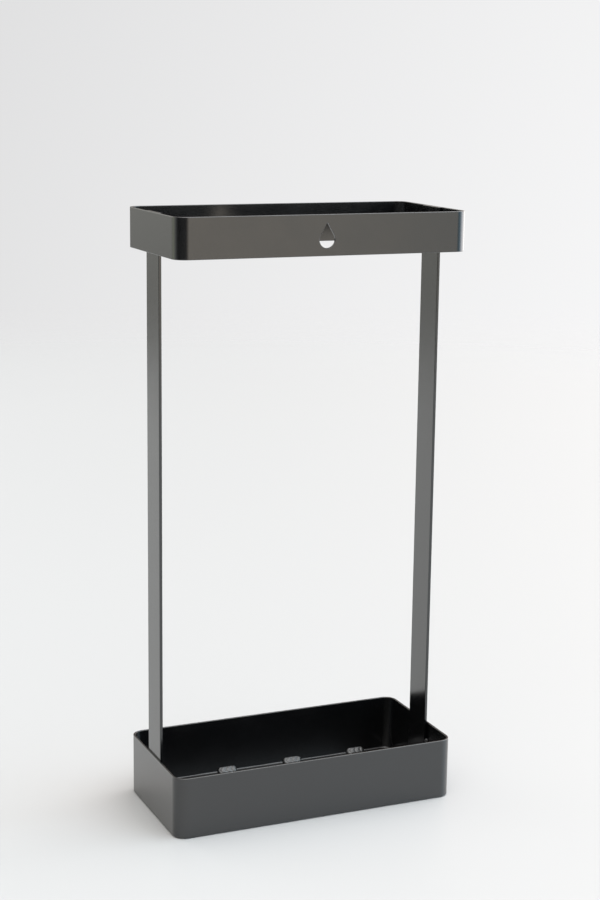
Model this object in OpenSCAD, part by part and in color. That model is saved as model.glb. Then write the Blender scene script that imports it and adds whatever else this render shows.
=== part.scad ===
// Umbrella stand: a rounded steel ring held over a rounded steel tray by two flat bars.
// The origin is at the middle of the footprint, on the floor. +X is right, +Y back and +Z up.

/* [Overall] */
// Height from the floor to the top edge of the ring
stand_h = 600; // [500:5:650]
// Outer width of the ring and of the tray
stand_w = 300; // [240:2:360]
// Outer depth of the ring and of the tray
stand_d = 142; // [120:2:180]
// Outer radius of the bends in the ring and in the tray wall
bend_r = 13; // [8:1:24]

/* [Sheet and bar] */
// Thickness of the steel strip that the ring and the tray wall are bent from
sheet_t = 2; // [1.5:0.5:3]
// Width of the strip in the ring
ring_h = 39; // [30:1:60]
// Width of the flat bar of each upright
bar_w = 35; // [25:1:50]
// Thickness of the flat bar of each upright
bar_t = 3; // [2:0.5:5]

/* [Tray] */
// Height of the tray wall
wall_h = 61; // [45:1:90]
// Thickness of the floor plate
floor_t = 2; // [1.5:0.5:3]
// Step from the lower edge of the wall up to the underside of the floor plate
floor_step = 1; // [1:0.5:6]
// Gap all round between the floor plate and the wall, which the welds bridge
floor_gap = 0.2; // [0.1:0.1:0.5]

/* [Cut-out] */
// Radius of the round end of the drop-shaped cut-out in the ring
drop_r = 8; // [4:0.5:9]
// Distance from the middle of the round end up to the point of the drop
drop_tip = 16; // [12:1:18]

/* [Welds] */
// Number of stitch welds along the front, and along the back
stitches = 4; // [2:1:4]
// Length of each stitch weld
stitch_l = 22; // [14:1:25]
// Leg of the stitch welds, up the wall and out over the floor plate
stitch_leg = 5; // [3:0.5:6]
// Distance from the bend in the wall to the middle of the nearest stitch weld
stitch_margin = 25; // [24:0.5:50]
// Distance that the row of stitch welds is set off to the left of the middle
stitch_shift = 6; // [0:1:8]
// Length of the welds along the edges of the uprights
bar_weld_l = 22; // [12:1:30]
// Leg of the welds along the edges of the uprights
bar_weld_leg = 3; // [2:0.5:4]

/* [Feet] */
// Diameter of the stick-on rubber feet
foot_d = 20; // [12:1:25]
// Gap that the feet leave under the tray wall
foot_gap = 1; // [0.5:0.5:3]
// Distance from the outer side of the wall to the middle of a foot
foot_inset = 22; // [18:1:30]
// Rounding of the lower edge of a foot
foot_round = 0.8; // [0.4:0.1:1]

/* [Hidden] */
$fn = 96;

inner_w = stand_w - 2 * sheet_t;
inner_d = stand_d - 2 * sheet_t;
inner_r = bend_r - sheet_t;

ring_z = stand_h - ring_h;
ring_mid_z = ring_z + ring_h / 2;
drop_z = ring_mid_z - (drop_tip - drop_r) / 2;

floor_z = foot_gap + floor_step;
floor_top = floor_z + floor_t;
tray_mid_z = (floor_top + foot_gap + wall_h) / 2;

stitch_row = stand_w - 2 * (bend_r + stitch_margin);
stitch_pitch = stitch_row / (stitches - 1);

foot_x = stand_w / 2 - foot_inset;
foot_y = stand_d / 2 - foot_inset;

// How far a cutter reaches past each face that it cuts
cut = 1;

steel_color = [0.15, 0.15, 0.15];
weld_color = [0.25, 0.25, 0.26];
rubber_color = [0.05, 0.05, 0.05];

// Rectangle w by d with corners of radius r, centred on the origin
module rounded_rect(w, d, r) {
    square([w - 2 * r, d], center = true);
    square([w, d - 2 * r], center = true);
    for (x = [-1, 1], y = [-1, 1])
        translate([x * (w / 2 - r), y * (d / 2 - r)])
            circle(r = r);
}

// Strip of height h bent to the stand's closed outline, standing on z = 0
module bent_strip(h) {
    linear_extrude(h)
        difference() {
            rounded_rect(stand_w, stand_d, bend_r);
            rounded_rect(inner_w, inner_d, inner_r);
        }
}

// Drop outline: a circle about the origin, and its two tangents up to the point
module drop_outline() {
    lean = acos(drop_r / drop_tip);
    touch_x = drop_r * sin(lean);
    touch_y = drop_r * cos(lean);
    circle(r = drop_r);
    polygon([[0, 0], [touch_x, touch_y], [0, drop_tip], [-touch_x, touch_y]]);
}

// Quarter-round weld bead with round ends. It runs along X, centred on x = 0, and lies in the
// corner between the XY plane and the XZ plane, on the +Y and +Z side of them
module weld_bead(length, leg) {
    straight = length - 2 * leg;
    intersection() {
        union() {
            rotate([0, 90, 0])
                cylinder(r = leg, h = straight, center = true);
            for (end = [-1, 1])
                translate([end * straight / 2, 0, 0])
                    sphere(r = leg);
        }
        translate([-length, 0, 0])
            cube([2 * length, 2 * leg, 2 * leg]);
    }
}

module top_ring() {
    color(steel_color)
        difference() {
            translate([0, 0, ring_z])
                bent_strip(ring_h);
            translate([0, -inner_d / 2 + cut, drop_z])
                rotate([90, 0, 0])
                    linear_extrude(sheet_t + 2 * cut)
                        drop_outline();
        }
}

// Flat bar that stands on the floor plate against the inside of the tray wall, and ends level
// with the top of the ring. side is -1 for the left bar and 1 for the right one
module upright(side) {
    color(steel_color)
        translate([side * (inner_w - bar_t) / 2, 0, (floor_top + stand_h) / 2])
            cube([bar_t, bar_w, stand_h - floor_top], center = true);
}

module tray_wall() {
    color(steel_color)
        translate([0, 0, foot_gap])
            bent_strip(wall_h);
}

module tray_floor() {
    color(steel_color)
        translate([0, 0, floor_z])
            linear_extrude(floor_t)
                rounded_rect(inner_w - 2 * floor_gap, inner_d - 2 * floor_gap, inner_r - floor_gap);
}

// Row of stitch welds between the floor plate and the wall. side is -1 for the front, 1 for the back
module floor_welds(side) {
    color(weld_color)
        for (i = [0 : stitches - 1])
            translate([i * stitch_pitch - stitch_row / 2 - stitch_shift, side * inner_d / 2, floor_top])
                mirror([0, side > 0 ? 1 : 0, 0])
                    weld_bead(stitch_l, stitch_leg);
}

// Two upright welds at height z, one along each edge of the bar on the given side
module bar_welds(side, z) {
    color(weld_color)
        for (edge = [-1, 1])
            translate([side * inner_w / 2, edge * bar_w / 2, z])
                mirror([side > 0 ? 1 : 0, 0, 0])
                    mirror([0, edge < 0 ? 1 : 0, 0])
                        rotate([0, 90, 0])
                            weld_bead(bar_weld_l, bar_weld_leg);
}

// Round stick-on foot under the floor plate. x and y are -1 or 1, and pick the corner
module foot(x, y) {
    color(rubber_color)
        translate([x * foot_x, y * foot_y, 0])
            rotate_extrude() {
                translate([0, foot_round])
                    square([foot_d / 2, floor_z - foot_round]);
                square([foot_d / 2 - foot_round, floor_z]);
                translate([foot_d / 2 - foot_round, foot_round])
                    circle(r = foot_round);
            }
}

top_ring();
upright(-1);  // left_upright
upright(1);  // right_upright
tray_wall();
tray_floor();
floor_welds(-1);  // front_floor_welds
floor_welds(1);  // rear_floor_welds
bar_welds(-1, ring_mid_z);  // left_ring_welds
bar_welds(1, ring_mid_z);  // right_ring_welds
bar_welds(-1, tray_mid_z);  // left_tray_welds
bar_welds(1, tray_mid_z);  // right_tray_welds
foot(-1, -1);  // front_left_foot
foot(1, -1);  // front_right_foot
foot(-1, 1);  // rear_left_foot
foot(1, 1);  // rear_right_foot
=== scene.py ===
import math
import random

import bmesh
import bpy
from mathutils import Matrix, Vector


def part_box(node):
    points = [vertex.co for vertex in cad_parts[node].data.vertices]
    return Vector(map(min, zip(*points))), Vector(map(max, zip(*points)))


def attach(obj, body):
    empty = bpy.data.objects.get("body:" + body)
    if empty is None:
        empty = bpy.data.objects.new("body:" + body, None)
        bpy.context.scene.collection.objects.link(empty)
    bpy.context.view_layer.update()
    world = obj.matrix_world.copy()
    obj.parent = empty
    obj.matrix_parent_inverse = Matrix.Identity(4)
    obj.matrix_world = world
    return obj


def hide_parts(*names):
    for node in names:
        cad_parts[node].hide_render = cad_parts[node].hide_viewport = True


# The umbrella stand's looks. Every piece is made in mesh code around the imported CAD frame, in metres:
# +X is the stand's right, +Y its back and +Z up, with the origin on the floor.

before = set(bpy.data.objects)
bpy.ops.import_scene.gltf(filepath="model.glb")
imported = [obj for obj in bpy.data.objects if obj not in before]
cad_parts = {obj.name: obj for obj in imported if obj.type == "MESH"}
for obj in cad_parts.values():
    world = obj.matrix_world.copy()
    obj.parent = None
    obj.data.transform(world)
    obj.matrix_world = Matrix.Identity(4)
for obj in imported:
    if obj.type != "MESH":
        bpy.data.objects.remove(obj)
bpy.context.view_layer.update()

MM = 0.001
BODY = "root"
FULL_TURN = 2 * math.pi
QUARTER_TURN = math.pi / 2
X = Vector((1, 0, 0))
Y = Vector((0, 1, 0))
Z = Vector((0, 0, 1))


# ---------------------------------------------------------------- sizes

ring_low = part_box("top_ring")[0]
left_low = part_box("left_upright")[0]
tray_low, tray_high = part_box("tray_wall")
plate_low, plate_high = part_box("tray_floor")

SHEET_T = left_low.x - ring_low.x
BEND_RADIUS = 13 * MM
PLATE_GAP = plate_low.x - (tray_low.x + SHEET_T)

# The drop-shaped cut-out: radius of its round end, distance from there up to its point, and the
# radius that blunts the point
DROP_R = 8 * MM
DROP_TIP = 16 * MM
DROP_BLUNT = 0.5 * MM

# Rounding that the powder coat leaves on the sheared edges of the strip, the plate and the bars, on
# the bars' upright edges and on the cut-out, and the moulded rounding of the feet
SHEET_EDGE = 0.55 * MM
PLATE_EDGE = 0.5 * MM
BAR_EDGE = 0.5 * MM
BAR_CORNER = BAR_EDGE + 0.1 * MM
CUT_EDGE = 0.35 * MM
FOOT_EDGE = 0.8 * MM

# Segments along each kind of curve
EDGE_STEPS = 5
BEND_STEPS = 24
DROP_STEPS = 40
BLUNT_STEPS = 8
FOOT_STEPS = 64

# Stitch welds along the floor plate, and the length of the welds along the edges of the uprights
STITCHES = 4
STITCH_L = 22 * MM
BAR_WELD_L = 22 * MM
# Beads: step along them, segments across, depth of the root in the plates, and the angle from which
# an edge stays sharp
BEAD_STEP = 0.22 * MM
BEAD_ARC = 14
BEAD_ROOT = 0.25 * MM
BEAD_SHARP = math.radians(60)
# Length of a bead's rounded end in legs, and the smallest share of its size left at the tip, squared
BEAD_END = 1.0
BEAD_TIP = 0.02
# Ripples: their pitch and how far it varies from bead to bead, how far they sweep back over the crown
# in legs, how deep they are as a share of the leg, how much of that is left at the bead's toes, and
# how narrow the grooves between them are
RIPPLE_PITCH = 13.0 * MM
RIPPLE_VARIES = 0.08
RIPPLE_SWEEP = 0.45
RIPPLE_DEPTH = 0.13
RIPPLE_AT_TOE = 0.35
RIPPLE_SHARPNESS = 1.5
# How far the crown lies inside the round section, and how far the size wanders, as shares of the leg;
# the number of waves that it wanders by, and the range of their rates
CROWN_DROP = 0.19
WANDER = 0.09
WANDER_WAVES = 3
WANDER_RATES = (0.7, 2.6)

# The coat's fillet round the floor plate: its legs, the depth of its root, its step along, and the
# share and the waves round the plate by which the legs vary
FILLET_LEG = 1.2 * MM
FILLET_ROOT = 0.15 * MM
FILLET_STEP = 4 * MM
FILLET_VARIES = 0.09
FILLET_WAVES = (7, 16, 29)


# ---------------------------------------------------------------- mesh building

def mesh_piece(mesh, name, wear):
    """Makes the Blender object of a mesh, shaded smooth, with the wear of its points."""
    mesh.polygons.foreach_set("use_smooth", [True] * len(mesh.polygons))
    mesh.attributes.new("wear", "FLOAT", "POINT").data.foreach_set("value", wear)
    made = bpy.data.objects.new(name, mesh)
    bpy.context.scene.collection.objects.link(made)
    return made


class Shell:
    """A closed surface in the making: points with their exact normals and wear, and faces."""

    def __init__(self):
        self.points = []
        self.normals = []
        self.wear = []
        self.faces = []

    def add_loop(self, rows):
        """Adds rows of (point, normal, wear) and returns their indices."""
        first = len(self.points)
        for point, normal, wear in rows:
            self.points.append(Vector(point))
            self.normals.append(Vector(normal).normalized())
            self.wear.append(wear)
        return list(range(first, len(self.points)))

    def bridge(self, low, high, skip=()):
        """Joins two closed loops of the same length by quads, leaving out the stretches in skip."""
        count = len(low)
        for i in range(count):
            if i in skip:
                continue
            j = (i + 1) % count
            self.faces.append((low[i], low[j], high[j], high[i]))

    def cap(self, loop):
        """Closes a loop by one flat face."""
        self.faces.append(tuple(loop))

    def piece(self, name):
        """Makes the Blender object, with outward faces and the exact normals."""
        mesh = bpy.data.meshes.new(name)
        mesh.from_pydata(self.points, [], self.faces)
        work = bmesh.new()
        work.from_mesh(mesh)
        bmesh.ops.recalc_face_normals(work, faces=work.faces)
        work.to_mesh(mesh)
        work.free()
        made = mesh_piece(mesh, name, self.wear)
        mesh.normals_split_custom_set_from_vertices(self.normals)
        return made


def arc(start, end, steps):
    """Angles from start to end, both included."""
    return [start + (end - start) * i / steps for i in range(steps + 1)]


def round_stations(middle_x, middle_y, radius, angles):
    """Stations (x, y, normal x, normal y) along a circle at the given angles."""
    stations = []
    for angle in angles:
        normal_x = math.cos(angle)
        normal_y = math.sin(angle)
        stations.append((middle_x + radius * normal_x, middle_y + radius * normal_y, normal_x, normal_y))
    return stations


def rectangle_outline(half_x, half_y, radius, steps, window=None):
    """Stations (x, y, normal x, normal y) round a rectangle with round corners, anticlockwise.

    With a window, the first and the last station stand on the front side at x = +window and
    x = -window, so that the stretch from the last station to the first is the window.
    """
    stations = []
    if window:
        stations.append((window, -half_y, 0.0, -1.0))
    corners = [(1, -1), (1, 1), (-1, 1), (-1, -1)]
    for turn, (side_x, side_y) in enumerate(corners):
        middle_x = side_x * (half_x - radius)
        middle_y = side_y * (half_y - radius)
        start = (turn - 1) * QUARTER_TURN
        stations += round_stations(middle_x, middle_y, radius, arc(start, start + QUARTER_TURN, steps))
    if window:
        stations.append((-window, -half_y, 0.0, -1.0))
    return stations


def strip_section(thickness, low, high, edge):
    """The cut through a strip as (outward, z, normal outward, normal z, wear), with round edges.

    Outward is 0 on the outer face. The section starts at the top of the outer face and goes
    over the top edge first.
    """
    section = []
    corners = [(-edge, high - edge), (edge - thickness, high - edge),
               (edge - thickness, low + edge), (-edge, low + edge)]
    for turn, (out, z) in enumerate(corners):
        start = turn * QUARTER_TURN
        for angle in arc(start, start + QUARTER_TURN, EDGE_STEPS):
            wear = math.sin(2 * (angle - start))
            section.append((out + edge * math.cos(angle), z + edge * math.sin(angle),
                            math.cos(angle), math.sin(angle), wear))
    return section


def drop_outline(radius, tip):
    """Stations (u, v, normal u, normal v) round the drop-shaped cut-out, anticlockwise.

    The round end has its middle at (0, 0) and the drop's point is at (0, tip), slightly blunted.
    """
    lean = math.acos(radius / tip)
    side = QUARTER_TURN - lean
    blunt_v = tip - DROP_BLUNT / math.cos(lean)
    round_end = round_stations(0, 0, radius, arc(math.pi - side, FULL_TURN + side, DROP_STEPS))
    point = round_stations(0, blunt_v, DROP_BLUNT, arc(side, math.pi - side, BLUNT_STEPS))
    return round_end + point


def bent_strip(name, node, cut_out=False):
    """A closed strip that follows the CAD node's outline; with cut_out, the drop is cut in its front."""
    low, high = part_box(node)
    half_x = (high.x - low.x) / 2
    half_y = (high.y - low.y) / 2
    window = (high.z - low.z) / 2 if cut_out else None
    outline = rectangle_outline(half_x, half_y, BEND_RADIUS, BEND_STEPS, window)
    section = strip_section(SHEET_T, low.z, high.z, SHEET_EDGE)
    shell = Shell()
    loops = []
    for out, z, normal_out, normal_z, wear in section:
        rows = []
        for x, y, normal_x, normal_y in outline:
            point = (x + normal_x * out, y + normal_y * out, z)
            rows.append((point, (normal_x * normal_out, normal_y * normal_out, normal_z), wear))
        loops.append(shell.add_loop(rows))
    inner_top = 2 * (EDGE_STEPS + 1) - 1
    outer_low = len(section) - 1
    window_stretch = [len(outline) - 1] if cut_out else []
    for i, loop in enumerate(loops):
        flat = i in (inner_top, outer_low)
        shell.bridge(loop, loops[(i + 1) % len(loops)], window_stretch if flat else ())
    if cut_out:
        outer = [loops[outer_low][-1], loops[outer_low][0], loops[0][0], loops[0][-1]]
        inner_low = inner_top + 1
        inner = [loops[inner_low][-1], loops[inner_low][0], loops[inner_top][0], loops[inner_top][-1]]
        cut_drop(shell, outer, inner, (low.z + high.z) / 2, low.y)
    return shell.piece(name)


def cut_drop(shell, outer, inner, middle_z, face_y):
    """Fills the window in a strip's front, round the drop and through the sheet.

    outer and inner are the window's corners on either face: lower left, lower right, upper right
    and upper left.
    """
    stations = drop_outline(DROP_R, DROP_TIP)
    origin_z = middle_z - (DROP_TIP - DROP_R) / 2
    lip = []
    for angle in arc(QUARTER_TURN, 0, EDGE_STEPS):
        lip.append((CUT_EDGE * (1 - math.cos(angle)), CUT_EDGE * (1 - math.sin(angle)),
                    math.cos(angle), -math.sin(angle), math.sin(2 * angle)))
    for angle in arc(0, QUARTER_TURN, EDGE_STEPS):
        lip.append((CUT_EDGE * (1 - math.cos(angle)), SHEET_T - CUT_EDGE * (1 - math.sin(angle)),
                    math.cos(angle), math.sin(angle), math.sin(2 * angle)))
    loops = []
    for offset, depth, into_hole, into_sheet, wear in lip:
        rows = []
        for u, v, normal_u, normal_v in stations:
            point = (u + normal_u * offset, face_y + depth, origin_z + v + normal_v * offset)
            rows.append((point, (-normal_u * into_hole, into_sheet, -normal_v * into_hole), wear))
        loops.append(shell.add_loop(rows))
    for low, high in zip(loops, loops[1:]):
        shell.bridge(low, high)
    fill_round(shell, outer, loops[0], stations)
    fill_round(shell, inner, loops[-1], stations)


def fill_round(shell, corners, hole, stations):
    """Fills the flat face between the window's four corners and the hole's loop with triangles.

    Each point of the hole is joined to the corner that its normal points towards.
    """
    corner_of_quarter = (2, 3, 0, 1)
    count = len(hole)
    sector = []
    for _, _, normal_u, normal_v in stations:
        angle = math.atan2(normal_v, normal_u) % FULL_TURN
        sector.append(corner_of_quarter[int(angle // QUARTER_TURN) % len(corner_of_quarter)])
    for i in range(count):
        j = (i + 1) % count
        shell.faces.append((hole[i], hole[j], corners[sector[i]]))
        if sector[i] != sector[j]:
            shell.faces.append((hole[j], corners[sector[j]], corners[sector[i]]))


def rounded_slab(name, outline, low_z, high_z, edge):
    """A flat-ended solid with the given outline and round edges at both ends."""
    levels = []
    for angle in arc(-QUARTER_TURN, 0, EDGE_STEPS):
        levels.append((edge * (1 - math.cos(angle)), low_z + edge * (1 + math.sin(angle)),
                       math.cos(angle), math.sin(angle)))
    for angle in arc(0, QUARTER_TURN, EDGE_STEPS):
        levels.append((edge * (1 - math.cos(angle)), high_z - edge * (1 - math.sin(angle)),
                       math.cos(angle), math.sin(angle)))
    shell = Shell()
    loops = []
    for inset, z, normal_out, normal_z in levels:
        wear = abs(2 * normal_out * normal_z)
        rows = []
        for x, y, normal_x, normal_y in outline:
            point = (x - normal_x * inset, y - normal_y * inset, z)
            rows.append((point, (normal_x * normal_out, normal_y * normal_out, normal_z), wear))
        loops.append(shell.add_loop(rows))
    for low, high in zip(loops, loops[1:]):
        shell.bridge(low, high)
    shell.cap(loops[0])
    shell.cap(loops[-1])
    return shell.piece(name)


def box_outline(low, high, radius, steps):
    """The rounded outline of a CAD box, in its place."""
    middle_x = (low.x + high.x) / 2
    middle_y = (low.y + high.y) / 2
    outline = rectangle_outline((high.x - low.x) / 2, (high.y - low.y) / 2, radius, steps)
    return [(x + middle_x, y + middle_y, normal_x, normal_y) for x, y, normal_x, normal_y in outline]


def weld_bead(work, middle, along, side_a, side_b, length, leg, chance):
    """Adds one rippled fillet weld to work: a corner filled between two plates.

    middle is on the corner's line, along runs down it, and side_a and side_b lie in the plates.
    """
    ripple = RIPPLE_PITCH * chance.uniform(1 - RIPPLE_VARIES, 1 + RIPPLE_VARIES)
    phase = chance.uniform(0, FULL_TURN)
    uneven = [(chance.uniform(*WANDER_RATES), chance.uniform(0, FULL_TURN)) for _ in range(WANDER_WAVES)]
    steps = round(length / BEAD_STEP)
    rows = []
    for i in range(steps + 1):
        along_at = (i / steps - 0.5) * length
        end = max(0.0, (abs(along_at) - length / 2) / (BEAD_END * leg) + 1)
        swell = math.sqrt(max(BEAD_TIP, 1 - end * end))
        wander = sum(math.sin(rate * along_at / leg + turn) for rate, turn in uneven) / WANDER_WAVES
        row = [work.verts.new(middle + along * along_at - (side_a + side_b) * BEAD_ROOT)]
        for j in range(BEAD_ARC + 1):
            angle = QUARTER_TURN * j / BEAD_ARC
            crown = math.sin(2 * angle)
            wave = math.sin(FULL_TURN * (along_at + RIPPLE_SWEEP * leg * crown) / ripple + phase)
            groove = RIPPLE_DEPTH * (1 - abs(wave)) ** RIPPLE_SHARPNESS
            groove *= RIPPLE_AT_TOE + (1 - RIPPLE_AT_TOE) * crown
            size = min(leg, leg * swell * (1 - CROWN_DROP * crown + WANDER * wander - groove))
            reach_a = max(size * math.cos(angle), -BEAD_ROOT)
            reach_b = max(size * math.sin(angle), -BEAD_ROOT)
            if j == 0:
                reach_b = -BEAD_ROOT
            if j == BEAD_ARC:
                reach_a = -BEAD_ROOT
            row.append(work.verts.new(middle + along * along_at + side_a * reach_a + side_b * reach_b))
        rows.append(row)
    for low, high in zip(rows, rows[1:]):
        count = len(low)
        for j in range(count):
            k = (j + 1) % count
            work.faces.new((low[j], low[k], high[k], high[j]))
    work.faces.new(rows[0])
    work.faces.new(list(reversed(rows[-1])))


def bead_piece(name, beads, seed):
    """One piece of several weld beads; beads lists the arguments of weld_bead."""
    chance = random.Random(seed)
    work = bmesh.new()
    for bead in beads:
        weld_bead(work, *bead, chance)
    bmesh.ops.recalc_face_normals(work, faces=work.faces)
    mesh = bpy.data.meshes.new(name)
    work.to_mesh(mesh)
    work.free()
    made = mesh_piece(mesh, name, [0.0] * len(mesh.vertices))
    mesh.set_sharp_from_angle(angle=BEAD_SHARP)
    return made


# ---------------------------------------------------------------- pieces

def make_upright(node):
    """The flat bar of one side, with its sheared edges rounded."""
    low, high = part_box(node)
    outline = box_outline(low, high, BAR_CORNER, EDGE_STEPS)
    return rounded_slab(node + "_bar", outline, low.z, high.z, BAR_EDGE)


def make_floor_plate():
    """The plate that closes the tray."""
    outline = box_outline(plate_low, plate_high, BEND_RADIUS - SHEET_T - PLATE_GAP, BEND_STEPS)
    return rounded_slab("tray_floor_plate", outline, plate_low.z, plate_high.z, PLATE_EDGE)


def make_fillet(seed):
    """The coat's fillet where it has run together in the corner between the floor plate and the wall."""
    chance = random.Random(seed)
    half_x = (tray_high.x - tray_low.x) / 2 - SHEET_T
    half_y = (tray_high.y - tray_low.y) / 2 - SHEET_T
    outline = rectangle_outline(half_x, half_y, BEND_RADIUS - SHEET_T, BEND_STEPS)
    stations = []
    for i, here in enumerate(outline):
        gone = math.dist(here[:2], outline[i - 1][:2])
        pieces = max(1, round(gone / FILLET_STEP))
        for j in range(1, pieces + 1):
            stations.append([a + (b - a) * j / pieces for a, b in zip(outline[i - 1], here)])
    waves = [(rate, chance.uniform(0, FULL_TURN)) for rate in FILLET_WAVES]
    rows = []
    for i, (x, y, normal_x, normal_y) in enumerate(stations):
        turn = FULL_TURN * i / len(stations)
        leg = FILLET_LEG * (1 + sum(FILLET_VARIES * math.sin(rate * turn + phase) for rate, phase in waves))
        section = [(FILLET_ROOT, leg, 0, 1)]
        for angle in arc(0, -QUARTER_TURN, EDGE_STEPS + 1):
            section.append((leg * (math.cos(angle) - 1), leg * (1 + math.sin(angle)), -math.cos(angle),
                            -math.sin(angle)))
        section += [(-leg, -FILLET_ROOT, -1, 0), (FILLET_ROOT, -FILLET_ROOT, 0, -1)]
        rows.append([((x + normal_x * out, y + normal_y * out, plate_high.z + up),
                      (normal_x * normal_out, normal_y * normal_out, normal_up), 0.0)
                     for out, up, normal_out, normal_up in section])
    shell = Shell()
    loops = [shell.add_loop(row) for row in rows]
    for low, high in zip(loops, loops[1:] + loops[:1]):
        shell.bridge(low, high)
    return shell.piece("tray_coat_fillet")


def make_floor_welds(node, side, seed):
    """The stitch welds along one long side of the tray; side is -1 at the front and 1 at the back."""
    low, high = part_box(node)
    leg = high.z - low.z
    pitch = (high.x - low.x - STITCH_L) / (STITCHES - 1)
    wall_y = high.y if side > 0 else low.y
    beads = []
    for i in range(STITCHES):
        middle = Vector((low.x + STITCH_L / 2 + i * pitch, wall_y, low.z))
        beads.append((middle, X, -side * Y, Z, STITCH_L, leg))
    return bead_piece(node + "_beads", beads, seed)


def make_bar_welds(node, side, seed):
    """The two welds along the edges of a bar; side is -1 for the left bar and 1 for the right one."""
    low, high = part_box(node)
    leg = high.x - low.x
    wall_x = high.x if side > 0 else low.x
    edge_y = (high.y - low.y) / 2 - leg
    beads = []
    for edge in (-1, 1):
        middle = Vector((wall_x, edge * edge_y, (low.z + high.z) / 2))
        beads.append((middle, Z, -side * X, edge * Y, BAR_WELD_L, leg))
    return bead_piece(node + "_beads", beads, seed)


def make_foot(node):
    """A round stick-on foot."""
    low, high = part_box(node)
    outline = round_stations((low.x + high.x) / 2, (low.y + high.y) / 2, (high.x - low.x) / 2,
                             arc(0, FULL_TURN, FOOT_STEPS)[:-1])
    return rounded_slab(node + "_pad", outline, low.z, high.z, FOOT_EDGE)


# ---------------------------------------------------------------- materials

PAINT_IOR = 1.8
PAINT_ROUGH = 0.19
WELD_ROUGH = 0.42
PAINT_BASE = (0.0016, 0.0018, 0.0022)
PAINT_WORN = (0.03, 0.03, 0.03)
# Height of the orange peel in the coat and over weld, and the share of the grain in it
PEEL = 0.004 * MM
WELD_PEEL = 4 * PEEL
GRAIN_SHARE = 0.4
# How far tone varies as a share of the base, and roughness by smudges and by speckles
TONE_VARIES = 0.15
SMUDGE = 0.02
SPECKLE = 0.008
# Share of a rubbed edge that shows, at least and at most
RUBBED = (0.25, 1.0)
# Features per metre
MOTTLE_SCALE = 22
SMUDGE_SCALE = 35
RUBBED_SCALE = 120
PEEL_SCALE = 650
GRAIN_SCALE = 900

RUBBER_IOR = 1.52
RUBBER_BASE = (0.016, 0.016, 0.016)
RUBBER_DUST = (0.05, 0.048, 0.045)
RUBBER_DUSTY = 0.35
RUBBER_ROUGH = (0.62, 0.8)
RUBBER_PEEL = 0.05 * MM
RUBBER_PEEL_STRENGTH = 0.6
RUBBER_DUST_SCALE = 260
RUBBER_ROUGH_SCALE = 400
RUBBER_PEEL_SCALE = 2500


def node_adder(tree):
    """Empties a node tree, and gives a function that adds a node to it and links it."""
    tree.nodes.clear()

    def add(kind, values=None, links=None, **settings):
        node = tree.nodes.new(kind)
        for key, value in settings.items():
            setattr(node, key, value)
        for socket, value in (values or {}).items():
            node.inputs[socket].default_value = value
        for socket, source in (links or {}).items():
            tree.links.new(source, node.inputs[socket])
        return node

    return add


def start_material(name):
    """A new, empty material and the function that adds its nodes."""
    material = bpy.data.materials.new(name)
    material.use_nodes = True
    return material, node_adder(material.node_tree)


def mix_colours(add, share, first, second):
    """Mixes two colours, each three numbers or an output, by an output from 0 to 1."""
    values = {}
    links = {"Factor": share}
    for socket, colour in (("A", first), ("B", second)):
        if isinstance(colour, (list, tuple)):
            values[socket] = [*colour, 1]
        else:
            links[socket] = colour
    return add("ShaderNodeMix", values, links, data_type="RGBA").outputs["Result"]


def noise(add, place, scale, detail=2.0, roughness=0.5):
    """The value of a noise texture; scale is in features per metre."""
    settings = {"Scale": scale, "Detail": detail, "Roughness": roughness}
    return add("ShaderNodeTexNoise", settings, {"Vector": place}).outputs["Fac"]


def spread(add, value, low, high, from_low=0.3, from_high=0.7):
    """Maps a value to the range low to high; by default it comes from a noise texture's usual range."""
    settings = {"From Min": from_low, "From Max": from_high, "To Min": low, "To Max": high}
    return add("ShaderNodeMapRange", settings, {"Value": value}).outputs["Result"]


def arithmetic(add, operation, first, second):
    """Math on two values, each a number or an output."""
    values = {}
    links = {}
    for i, item in enumerate((first, second)):
        if isinstance(item, (int, float)):
            values[i] = item
        else:
            links[i] = item
    return add("ShaderNodeMath", values, links, operation=operation).outputs[0]


def paint_material(name, rough, peel):
    """Satin powder coat: mottled nearly black paint, orange peel, and edges rubbed a little lighter."""
    material, add = start_material(name)
    place = add("ShaderNodeTexCoord").outputs["Object"]
    mottle = spread(add, noise(add, place, MOTTLE_SCALE, 4), 0, 1)
    grain = noise(add, place, GRAIN_SCALE, 2)
    wear = add("ShaderNodeAttribute", attribute_name="wear").outputs["Fac"]
    rubbed = arithmetic(add, "MULTIPLY", wear, spread(add, noise(add, place, RUBBED_SCALE, 3), *RUBBED))
    dark = [part * (1 - TONE_VARIES) for part in PAINT_BASE]
    light = [part * (1 + TONE_VARIES) for part in PAINT_BASE]
    colour = mix_colours(add, rubbed, mix_colours(add, mottle, dark, light), PAINT_WORN)
    smudge = spread(add, noise(add, place, SMUDGE_SCALE, 5, 0.6), -SMUDGE, SMUDGE)
    speckle = spread(add, grain, -SPECKLE, SPECKLE)
    roughness = arithmetic(add, "ADD", arithmetic(add, "ADD", smudge, speckle), rough)
    fine = arithmetic(add, "MULTIPLY", grain, GRAIN_SHARE)
    height = arithmetic(add, "ADD", noise(add, place, PEEL_SCALE, 2), fine)
    bump = add("ShaderNodeBump", {"Strength": 1.0, "Distance": peel}, {"Height": height})
    shader = add("ShaderNodeBsdfPrincipled", {"IOR": PAINT_IOR},
                 {"Base Color": colour, "Roughness": roughness, "Normal": bump.outputs["Normal"]})
    add("ShaderNodeOutputMaterial", None, {"Surface": shader.outputs["BSDF"]})
    return material


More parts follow.
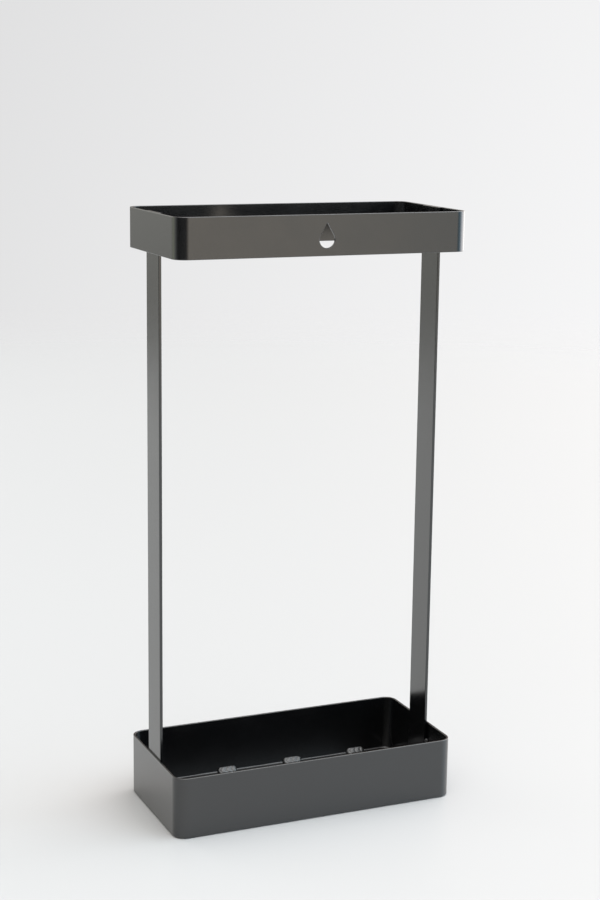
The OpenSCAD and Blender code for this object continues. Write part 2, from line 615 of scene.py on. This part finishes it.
def rubber_material():
    """Matt black rubber with a fine moulded grain and some dust."""
    material, add = start_material("moulded_rubber")
    place = add("ShaderNodeTexCoord").outputs["Object"]
    dust = spread(add, noise(add, place, RUBBER_DUST_SCALE, 4), 0, RUBBER_DUSTY)
    colour = mix_colours(add, dust, RUBBER_BASE, RUBBER_DUST)
    bump = add("ShaderNodeBump", {"Strength": RUBBER_PEEL_STRENGTH, "Distance": RUBBER_PEEL},
               {"Height": noise(add, place, RUBBER_PEEL_SCALE, 2)})
    rough = spread(add, noise(add, place, RUBBER_ROUGH_SCALE, 3), *RUBBER_ROUGH)
    shader = add("ShaderNodeBsdfPrincipled", {"IOR": RUBBER_IOR},
                 {"Base Color": colour, "Roughness": rough, "Normal": bump.outputs["Normal"]})
    add("ShaderNodeOutputMaterial", None, {"Surface": shader.outputs["BSDF"]})
    return material


# ---------------------------------------------------------------- the stand

steel_paint = paint_material("satin_black_coat", PAINT_ROUGH, PEEL)
weld_paint = paint_material("satin_black_coat_on_weld", WELD_ROUGH, WELD_PEEL)
rubber = rubber_material()


def finish_piece(made, node, material):
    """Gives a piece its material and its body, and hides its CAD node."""
    made.data.materials.append(material)
    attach(made, BODY)
    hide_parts(node)


ring = bent_strip("top_ring_band", "top_ring", cut_out=True)
finish_piece(ring, "top_ring", steel_paint)
finish_piece(bent_strip("tray_wall_band", "tray_wall"), "tray_wall", steel_paint)
finish_piece(make_floor_plate(), "tray_floor", steel_paint)
finish_piece(make_fillet(seed=20), "tray_floor", weld_paint)
for node in ("left_upright", "right_upright"):
    finish_piece(make_upright(node), node, steel_paint)
for seed, (node, side) in enumerate((("front_floor_welds", -1), ("rear_floor_welds", 1))):
    finish_piece(make_floor_welds(node, side, seed), node, weld_paint)
for seed, place in enumerate(("left_ring", "right_ring", "left_tray", "right_tray"), 10):
    node = place + "_welds"
    side = -1 if place.startswith("left") else 1
    finish_piece(make_bar_welds(node, side, seed), node, weld_paint)
for node in ("front_left_foot", "front_right_foot", "rear_left_foot", "rear_right_foot"):
    finish_piece(make_foot(node), node, rubber)


# ---------------------------------------------------------------- studio

# The floor's radius, and the distance at which it starts to fade out
FLOOR_R = 4.0
FLOOR_FADE = 2.0
FLOOR_STEPS = 96
FLOOR_TONE = (0.45, 0.45, 0.45)
FLOOR_ROUGH = 0.4
FLOOR_IOR = 1.5

# Soft lights at infinity: name, compass angle from the back (+Y) towards the right (+X), height above
# the horizon, sharpness, and colour
LIGHTS = [
    ("right_wall_back", 40, -6, 28, (2.2, 2.2, 2.2)),
    ("right_wall_middle", 60, -6, 28, (2.2, 2.2, 2.2)),
    ("right_wall_front", 80, -6, 28, (2.2, 2.2, 2.2)),
    ("right_wall_end", 100, -6, 28, (2.15, 2.1, 2.2)),
    ("front_card", 160, -6, 28, (1.52, 1.35, 1.14)),
    ("left_card", 280, -6, 28, (0.48, 0.49, 0.50)),
    ("back_left_card", 300, -6, 28, (0.82, 0.88, 0.66)),
    ("back_right_box", 60, 22, 10, (0.92, 0.62, 0.49)),
    ("right_box", 90, 22, 10, (2.2, 2.2, 2.2)),
    ("window", 120, 22, 10, (0.73, 1.62, 2.2)),
    ("back_left_box", 330, 22, 10, (2.2, 2.2, 2.06)),
    ("high_right_box", 90, 52, 8, (2.2, 2.2, 2.2)),
    ("high_front_right_box", 150, 52, 8, (2.2, 2.2, 2.2)),
    ("high_front_left_box", 210, 52, 8, (2.2, 2.14, 2.08)),
    ("ceiling", 0, 86, 8, (2.2, 2.2, 2.2)),
]
# The backdrop as the camera sees it, dull at the upper left and bright at the lower right: the way to
# its bright side, and where along that way it starts and stops getting brighter
BACKDROP_COMPASS = 113.5
BACKDROP_HEIGHT = -20
BACKDROP_SPAN = (-0.22, 0.20)
BACKDROP_DULL = (0.725, 0.725, 0.73)
BACKDROP_BRIGHT = (0.92, 0.92, 0.925)


def direction(compass, height):
    """Unit vector towards a compass angle and height, both in degrees."""
    turn = math.radians(compass)
    lift = math.radians(height)
    return Vector((math.sin(turn) * math.cos(lift), math.cos(turn) * math.cos(lift), math.sin(lift)))


def make_floor():
    """A plain pale round floor that fades out before its rim."""
    mesh = bpy.data.meshes.new("studio_floor")
    rim = [(x, y, 0) for x, y, _, _ in round_stations(0, 0, FLOOR_R, arc(0, FULL_TURN, FLOOR_STEPS)[:-1])]
    mesh.from_pydata(rim, [], [tuple(range(len(rim)))])
    floor = bpy.data.objects.new("studio_floor", mesh)
    bpy.context.scene.collection.objects.link(floor)
    material, add = start_material("studio_floor")
    place = add("ShaderNodeTexCoord").outputs["Object"]
    away = add("ShaderNodeVectorMath", None, {0: place}, operation="LENGTH").outputs["Value"]
    fade = add("ShaderNodeMapRange", {"From Min": FLOOR_FADE, "From Max": FLOOR_R, "To Min": 0, "To Max": 1},
               {"Value": away}, interpolation_type="SMOOTHSTEP").outputs["Result"]
    board = add("ShaderNodeBsdfPrincipled",
                {"Base Color": [*FLOOR_TONE, 1], "Roughness": FLOOR_ROUGH, "IOR": FLOOR_IOR})
    clear = add("ShaderNodeBsdfTransparent")
    mixed = add("ShaderNodeMixShader", None, {"Fac": fade, 1: board.outputs[0], 2: clear.outputs[0]})
    add("ShaderNodeOutputMaterial", None, {"Surface": mixed.outputs[0]})
    floor.data.materials.append(material)


def light_colour(add, place):
    """The sum of the soft lights, each a lobe that falls off with the angle from its middle."""
    total = None
    for _, compass, height, sharpness, colour in LIGHTS:
        nearness = add("ShaderNodeVectorMath", {1: direction(compass, height)}, {0: place},
                       operation="DOT_PRODUCT").outputs["Value"]
        falloff = add("ShaderNodeMath", {1: sharpness, 2: -sharpness}, {0: nearness},
                      operation="MULTIPLY_ADD").outputs[0]
        lobe = add("ShaderNodeMath", None, {0: falloff}, operation="EXPONENT").outputs[0]
        glow = add("ShaderNodeVectorMath", {0: colour}, {"Scale": lobe}, operation="SCALE").outputs["Vector"]
        if total is None:
            total = glow
        else:
            total = add("ShaderNodeVectorMath", None, {0: total, 1: glow}, operation="ADD").outputs["Vector"]
    return total


def backdrop_colour(add, place):
    """The gradient across the backdrop."""
    bright_side = direction(BACKDROP_COMPASS, BACKDROP_HEIGHT)
    across = add("ShaderNodeVectorMath", {1: bright_side}, {0: place},
                 operation="DOT_PRODUCT").outputs["Value"]
    return mix_colours(add, spread(add, across, 0, 1, *BACKDROP_SPAN), BACKDROP_DULL, BACKDROP_BRIGHT)


def make_world():
    """Lights the stand by the soft lights, and shows the backdrop behind it."""
    world = bpy.data.worlds.new("studio")
    world.use_nodes = True
    add = node_adder(world.node_tree)
    place = add("ShaderNodeTexCoord").outputs["Generated"]
    lights = add("ShaderNodeBackground", None, {"Color": light_colour(add, place)})
    backdrop = add("ShaderNodeBackground", None, {"Color": backdrop_colour(add, place)})
    seen = add("ShaderNodeLightPath").outputs["Is Camera Ray"]
    mixed = add("ShaderNodeMixShader", None, {"Fac": seen, 1: lights.outputs[0], 2: backdrop.outputs[0]})
    add("ShaderNodeOutputWorld", None, {"Surface": mixed.outputs[0]})
    bpy.context.scene.world = world


# The camera stands to the left of the front, a little above the ring, and looks down
CAMERA_COMPASS = 23.673
CAMERA_DOWN = 11.887
CAMERA_ROLL = 0.750
CAMERA_PLACE = (-0.7013, -1.6132, 0.7319)
CAMERA_SENSOR = 36.0
CAMERA_LENS = 72.377
CAMERA_NEAR = 0.01


def make_camera():
    """The camera at its place, turned to its compass angle and tilt, then rolled about its view."""
    lens = bpy.data.cameras.new("camera")
    lens.sensor_fit = "AUTO"
    lens.sensor_width = CAMERA_SENSOR
    lens.lens = CAMERA_LENS
    lens.clip_start = CAMERA_NEAR
    camera = bpy.data.objects.new("camera", lens)
    bpy.context.scene.collection.objects.link(camera)
    forward = direction(CAMERA_COMPASS, -CAMERA_DOWN)
    right = forward.cross(Z).normalized()
    up = right.cross(forward)
    roll = math.radians(CAMERA_ROLL)
    tilted_right = right * math.cos(roll) + up * math.sin(roll)
    tilted_up = up * math.cos(roll) - right * math.sin(roll)
    turned = Matrix((tilted_right, tilted_up, -forward)).transposed()
    camera.matrix_world = Matrix.Translation(CAMERA_PLACE) @ turned.to_4x4()
    bpy.context.scene.camera = camera


make_floor()
make_world()
make_camera()
bpy.context.scene.view_settings.view_transform = "Standard"
